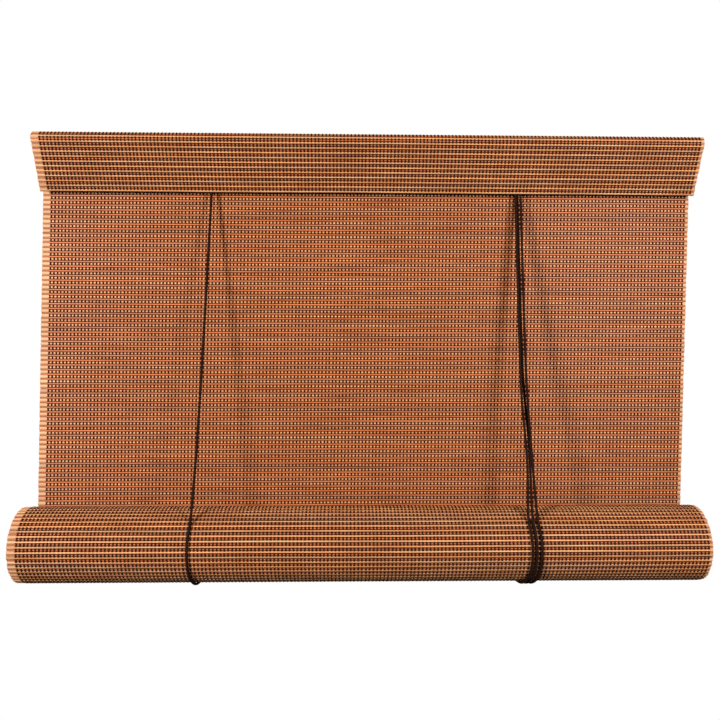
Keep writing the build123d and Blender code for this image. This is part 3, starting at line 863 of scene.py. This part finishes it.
edge_left = (-193.6 * MM, edge_y, edge_z)
edge_right = (179.2 * MM, edge_y, edge_z)
edge_one = (182.3 * MM, edge_y + EDGE_ONE_BEHIND, edge_z)
edge_two = (185.6 * MM, edge_y, edge_z)

KNOT_BELOW_EYE = 6.95 * MM
knot_foot_z = (eye_boxes["left"][0].z + eye_boxes["left"][1].z) / 2 - KNOT_BELOW_EYE
EYE_RADIUS = 4.1 * MM
eye_y = eye_boxes["left"][1].y - EYE_RADIUS
coil_x = (coil_low.x + coil_high.x) / 2
coil_y = (coil_low.y + coil_high.y) / 2
coil_z = (coil_low.z + coil_high.z) / 2
COIL_R = 22.0 * MM
coil_section_r = (coil_high.y - coil_low.y) / 2
coil_join_z = coil_z - math.sqrt((COIL_R + coil_section_r) ** 2 - COIL_R**2) - 2 * CORD_R


def shortening_cord(name, route, node):
    """A straight stretch, which on the real blind shortens as the roll goes up; here it is carried by the
    headrail, with a mesh of its own.
    """
    piece, line = cord_tube(name, spline_points([tuple(p) for p in route]))
    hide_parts(node)
    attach(piece, "headrail")
    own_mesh(piece)
    return piece, line


def lift_strand(name, strand, edge, between, back_top):
    """One cord down the front, under the roll and up the back."""
    front_route = strand.front_route(edge, between)
    front = shortening_cord(f"{name}_front_cord", front_route, f"{name}_front")
    sling_route = [tuple(p) for p in strand.sling_route()]
    sling, sling_line = cord_tube(f"{name}_sling_cord", spline_points(sling_route))
    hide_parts(f"{name}_sling")
    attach(sling, "slings")
    back_route = [back_top, (np.array(back_top) * 0.45 + strand.back * 0.55), strand.back]
    back = shortening_cord(f"{name}_back_cord", back_route, f"{name}_back")
    return front, (sling, sling_line), back


def hang_cords():
    """Both lift cords, and the two strands of the pull cord tucked round the roll."""
    rows = {
        "lift_cord_left": (left_hand, edge_left, [(-199.6, -320, 0)]),
        "lift_cord_right": (
            right_hand, edge_right, [(176.8, -298, -1.2), (179.6, -345, -2.4), (182.6, -395, -1.2)]
        ),
        "pull_cord_one": (
            pull_one, edge_one, [(180.6, -262, 2.0), (182.6, -320, 2.2), (185.9, -368, 0.6)]
        ),
        "pull_cord_two": (
            pull_two, edge_two, [(184.3, -240, 0), (184.6, -318, -1.5), (188.4, -385, 0.5)]
        ),
    }
    tops = {
        "lift_cord_left": (left_hand.back[0], eye_y, knot_foot_z),
        "lift_cord_right": (right_hand.back[0], eye_y, knot_foot_z),
        "pull_cord_one": (coil_x - COIL_R, coil_y, coil_join_z),
        "pull_cord_two": (coil_x + COIL_R, coil_y, coil_join_z),
    }
    for name, (strand, edge, between) in rows.items():
        for piece, line in lift_strand(name, strand, edge, between, tops[name]):
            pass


def wheel_centre(side):
    """The middle of a pulley wheel."""
    low, high = wheel_boxes[side]
    return (low + high) / 2


def round_wheel(side, corners):
    """Corners of the octagon round a wheel's groove that the cord's curve touches."""
    centre = wheel_centre(side)
    near = WHEEL_CORD_R * math.tan(math.radians(22.5))
    places = {
        "left_low": (-WHEEL_CORD_R, -near), "left_high": (-WHEEL_CORD_R, near),
        "top_left": (-near, WHEEL_CORD_R), "top_right": (near, WHEEL_CORD_R),
        "right_high": (WHEEL_CORD_R, near), "right_low": (WHEEL_CORD_R, -near),
    }
    return [(centre.x + places[c][0], centre.y, centre.z + places[c][1]) for c in corners]


def pulley_cords():
    """The cord from pulley to pulley under the headrail, and the one over the right front wheel."""
    left, rear, front = (wheel_centre(side) for side in ("left", "right_rear", "right_front"))
    left_up = (left.x - WHEEL_CORD_R, left.y, left.z - UPRIGHT)
    rear_down = (rear.x + WHEEL_CORD_R, rear.y, rear.z - UPRIGHT)
    cross = [
        edge_left, left_up,
        *round_wheel("left", ("left_low", "left_high", "top_left", "top_right")),
        (0.0, left.y, left.z + WHEEL_CORD_R),
        *round_wheel("right_rear", ("top_left", "top_right", "right_high", "right_low")),
        rear_down, edge_one,
    ]
    over_the_top = ("left_low", "left_high", "top_left", "top_right", "right_high", "right_low")
    over = [
        edge_right, (front.x - WHEEL_CORD_R, front.y, front.z - UPRIGHT),
        *round_wheel("right_front", over_the_top),
        (front.x + WHEEL_CORD_R, front.y, front.z - UPRIGHT), edge_two,
    ]
    rows = (
        ("cross_cord_braid", "cross_cord", cross),
        ("right_pulley_cord_braid", "right_pulley_cord", over),
    )
    for name, node, route in rows:
        piece, _ = cord_tube(name, spline_points(route))
        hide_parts(node)
        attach(piece, "headrail")


COIL_TURNS = 29             # whole turns; the last half turn follows them
TURNS_APART = 2.36 * MM
ROWS_APART = 0.866 * TURNS_APART
BUNDLE_R = 6.75 * MM
COIL_STEPS = 16             # route points to a turn
COIL_STEP = 2.4 * MM        # from ring to ring of the coil's mesh
COIL_RESOLUTION = 6
CROSSING = 0.2              # the share of a turn in which the cord moves over to its next place
LOOSENESS = 0.10            # how much wider the bundle spreads at the coil's sides than at the hook
UNEVEN = 0.25 * MM          # from turn to turn, at the coil's sides


def coil_sections():
    """Where each turn lies in the coil's section: rows of a close packed bundle, back to front."""
    places = []
    for number, row in enumerate(range(3, -4, -1)):
        across = [(k + (0.5 if row % 2 else 0.0)) * TURNS_APART for k in range(-3, 4)]
        inside = [a for a in across if math.hypot(a, row * ROWS_APART) < BUNDLE_R]
        if number % 2:
            inside = inside[::-1]
        places += [(a, row * ROWS_APART) for a in inside]
    return places


def stored_coil():
    """The stored pull cord: loose turns over the hook, tied at the bottom."""
    sections = coil_sections()[:COIL_TURNS + 1]
    route = [(coil_x - COIL_R, coil_y, coil_join_z)]
    total = int((len(sections) - 0.5) * COIL_STEPS)
    for k in range(total + 1):
        turn = k / COIL_STEPS
        which = min(int(turn), len(sections) - 1)
        following = min(which + 1, len(sections) - 1)
        blend = max(0.0, (turn - which - (1 - CROSSING)) / CROSSING)
        blend = blend * blend * (3 - 2 * blend)
        radial = sections[which][0] * (1 - blend) + sections[following][0] * blend
        deep = sections[which][1] * (1 - blend) + sections[following][1] * blend
        angle = math.pi - 2 * math.pi * turn
        loose = 1 + LOOSENESS * math.cos(angle) ** 2
        size = COIL_R + radial * loose + UNEVEN * math.sin(which * 2.4) * math.cos(angle) ** 2
        height = size * math.sin(angle)
        route.append((coil_x + size * math.cos(angle), coil_y + deep * loose, coil_z + height))
    route.append((coil_x + COIL_R, coil_y, coil_join_z))
    line = spline_points(route, COIL_RESOLUTION)
    piece, line = cord_tube("pull_cord_coil_turns", line, step=COIL_STEP, radius=COIL_DRAWN_R)
    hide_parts("pull_cord_coil")
    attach(piece, "headrail")


KNOT_POINTS = 73
KNOT_STEP = 0.7 * MM


def knots():
    """Each lift cord's end, knotted below its screw eye."""
    for side in ("left", "right"):
        low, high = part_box(f"cord_knot_{side}")
        middle = (Vector(low) + Vector(high)) / 2
        size = (high.x - low.x) / 2
        angles = np.linspace(0, 2 * math.pi, KNOT_POINTS)
        round_r = size * (0.30 + 0.16 * np.cos(3 * angles))
        line = np.stack([
            middle.x + round_r * np.cos(2 * angles),
            middle.y + round_r * np.sin(2 * angles),
            middle.z + size * 0.34 * np.sin(3 * angles),
        ], -1)
        piece, _ = cord_tube(f"lift_cord_knot_{side}", line, step=KNOT_STEP, radius=KNOT_DRAWN_R)
        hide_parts(f"cord_knot_{side}")
        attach(piece, "headrail")


# ---- finishes of the nodes that keep their own shape ----
def finish_nodes():
    """The finish of every CAD node that is shown as it is."""
    by_slot = {"timber": "timber", "zinc_steel": "steel", "pulley_nylon": "nylon", "cord": "cord"}
    for part in frame["record"]["subparts"]:
        material = MATERIALS.get(by_slot.get(part["material_slot"]))
        node = frame["nodes"][part["node"]]
        if material is None:
            continue
        if not node.material_slots:
            node.data.materials.append(material)
        for slot in node.material_slots:
            slot.material = material


# ---- stage ----
FLOOR_Z = -1.9
FLOOR_HALF = 0.6
FLOOR_DARK = (0.80, 0.80, 0.79)
FLOOR_PALE = (0.84, 0.84, 0.83)
LIGHT_AIM = (0.0, 0.0, -0.28)
LIGHTS = (                  # name, place, watts
    ("left_light", (-1.10, -1.06, -0.02), 21.3),
    ("right_light", (0.62, -0.85, -0.02), 8.1),
    ("back_light", (-0.90, 2.40, 0.60), 28.0),
)
LIGHT_WIDTH = 0.24
LIGHT_HEIGHT = 0.36
AMBIENT_BELOW = 0.03        # strength of the surround's own light
AMBIENT_ABOVE = 0.14


def make_floor():
    """A plain pale floor."""
    material, tree, shader = new_material("floor")
    place = add(tree, "ShaderNodeTexCoord").outputs["Object"]
    colour = ramp(tree, noise(tree, place, 3.0, 2.0, 0.5), ((0.2, FLOOR_DARK), (0.8, FLOOR_PALE)))
    tree.links.new(colour, shader.inputs["Base Color"])
    shader.inputs["Roughness"].default_value = 0.9
    ends = (-FLOOR_HALF, FLOOR_HALF)
    corners = [(ends[i], ends[j], FLOOR_Z) for i, j in ((0, 0), (1, 0), (1, 1), (0, 1))]
    floor = new_mesh("floor", corners, [(np.array([[0, 1, 2, 3]]), 0)], [material], smooth=False)


def make_surround():
    """A white surround, whose light is weaker from below than from above."""
    world = bpy.data.worlds.new("world")
    bpy.context.scene.world = world
    world.use_nodes = True
    tree = world.node_tree
    ambient = tree.nodes["Background"]
    way = add(tree, "ShaderNodeSeparateXYZ")
    tree.links.new(add(tree, "ShaderNodeTexCoord").outputs["Generated"], way.inputs["Vector"])
    ambient.inputs["Color"].default_value = (*WHITE, 1.0)
    strength = spread(tree, way.outputs["Z"], AMBIENT_BELOW, AMBIENT_ABOVE, -0.4, 0.6)
    tree.links.new(strength, ambient.inputs["Strength"])
    white = add(tree, "ShaderNodeBackground")
    white.inputs["Color"].default_value = (*WHITE, 1.0)
    white.inputs["Strength"].default_value = 1.0
    choose = add(tree, "ShaderNodeMixShader")
    tree.links.new(add(tree, "ShaderNodeLightPath").outputs["Is Camera Ray"], choose.inputs[0])
    tree.links.new(ambient.outputs[0], choose.inputs[1])
    tree.links.new(white.outputs[0], choose.inputs[2])
    tree.links.new(choose.outputs[0], tree.nodes["World Output"].inputs["Surface"])


def make_lights():
    """Two soft lights in front of the blind and one behind it."""
    for name, place, power in LIGHTS:
        data = bpy.data.lights.new(name, "AREA")
        data.shape = "RECTANGLE"
        data.size = LIGHT_WIDTH
        data.size_y = LIGHT_HEIGHT
        data.energy = power
        light = bpy.data.objects.new(name, data)
        bpy.context.scene.collection.objects.link(light)
        light.location = place
        light.rotation_euler = (Vector(LIGHT_AIM) - Vector(place)).to_track_quat("-Z", "Y").to_euler()


make_camera()
hang_cords()
pulley_cords()
stored_coil()
knots()
wrap_headrail()
hang_panel()
wind_roll()
finish_nodes()
make_floor()
make_surround()
make_lights()
bpy.context.scene.view_settings.view_transform = "Standard"
